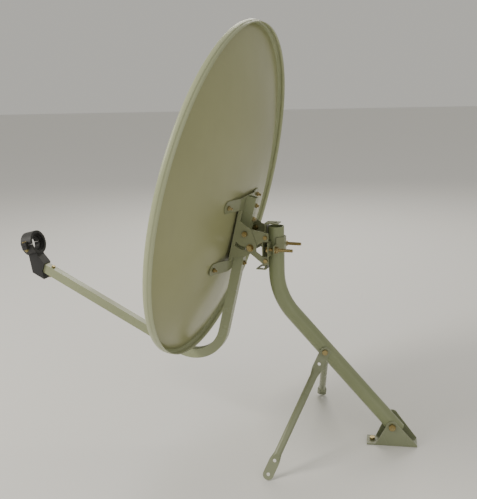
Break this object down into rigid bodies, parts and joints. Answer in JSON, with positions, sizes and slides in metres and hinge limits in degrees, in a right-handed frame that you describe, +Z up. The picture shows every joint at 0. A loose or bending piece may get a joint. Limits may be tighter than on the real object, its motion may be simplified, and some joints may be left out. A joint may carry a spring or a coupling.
{
  "type": "satellite dish",
  "caption": "Offset satellite dish on a bent mast with a hinged foot and swinging struts, an elevation and azimuth clamp, a J-shaped feed arm and a split ring for the feed.",
  "frame": {"origin": "on the ground under the foot pivot, in the middle of the foot bracket's base", "axes": "+Z up, -Y forward from the foot towards the feed in the mast's plane, +X the right side of the mast"},
  "size_m": [0.7407, 1.0502, 1.0155],
  "materials": {
    "powder_coat": "semi-gloss powder coat, light olive grey",
    "mast_coat": "satin powder coat, olive grey",
    "zinc": "yellow zinc plating",
    "black_plastic": "moulded, fine grain"
  },
  "bodies": {
    "foot": {"foot_bracket": "powder_coat", "foot_bolt": "zinc", "foot_nut": "zinc", "anchor_bolt": "zinc"},
    "mast": {"mast": "mast_coat", "strut_bolt": "zinc", "strut_nut": "zinc"},
    "right_strut": {"right_strut": "powder_coat"},
    "left_strut": {"left_strut": "powder_coat"},
    "head": {"clamp_bracket": "powder_coat", "front_saddle": "powder_coat", "rear_saddle": "powder_coat", "right_cheek": "powder_coat", "left_cheek": "powder_coat", "cheek_bolts": "zinc", "cheek_nuts": "zinc", "clamp_bolts": "zinc", "clamp_nuts": "zinc", "clamp_washers": "zinc", "pivot_bolts": "zinc", "pivot_nuts": "zinc", "lock_bolts": "zinc", "lock_washers": "zinc", "lock_nuts": "zinc"},
    "dish": {"reflector": "powder_coat", "dish_bracket": "powder_coat", "dish_bolts": "zinc", "dish_nuts": "zinc", "feed_arm": "powder_coat", "arm_bolts": "zinc", "arm_nuts": "zinc", "feed_holder": "black_plastic", "holder_cap": "black_plastic", "cap_screws": "zinc", "cap_nuts": "zinc", "holder_bolt": "zinc", "holder_nut": "zinc"}
  },
  "joints": [
    {"name": "mast_tilt", "type": "hinge", "parent": "foot", "child": "mast", "pos_m": [0, 0, 0.05], "axis": [1, 0, 0], "range_deg": [-45, 12]},
    {"name": "right_strut_swing", "type": "hinge", "parent": "mast", "child": "right_strut", "pos_m": [0, -0.1627, 0.23717], "axis": [-1, 0, 0], "range_deg": [-14, 8]},
    {"name": "left_strut_swing", "type": "hinge", "parent": "mast", "child": "left_strut", "pos_m": [0, -0.1627, 0.23717], "axis": [-1, 0, 0], "range_deg": [-5, 20]},
    {"name": "azimuth", "type": "hinge", "parent": "mast", "child": "head", "pos_m": [0, -0.28, 0.5], "axis": [0, 0, 1], "continuous": true},
    {"name": "elevation", "type": "hinge", "parent": "head", "child": "dish", "pos_m": [-0.0109, -0.34309, 0.52882], "axis": [-0.9854, 0.1702, 0], "range_deg": [-15, 4]}
  ]
}
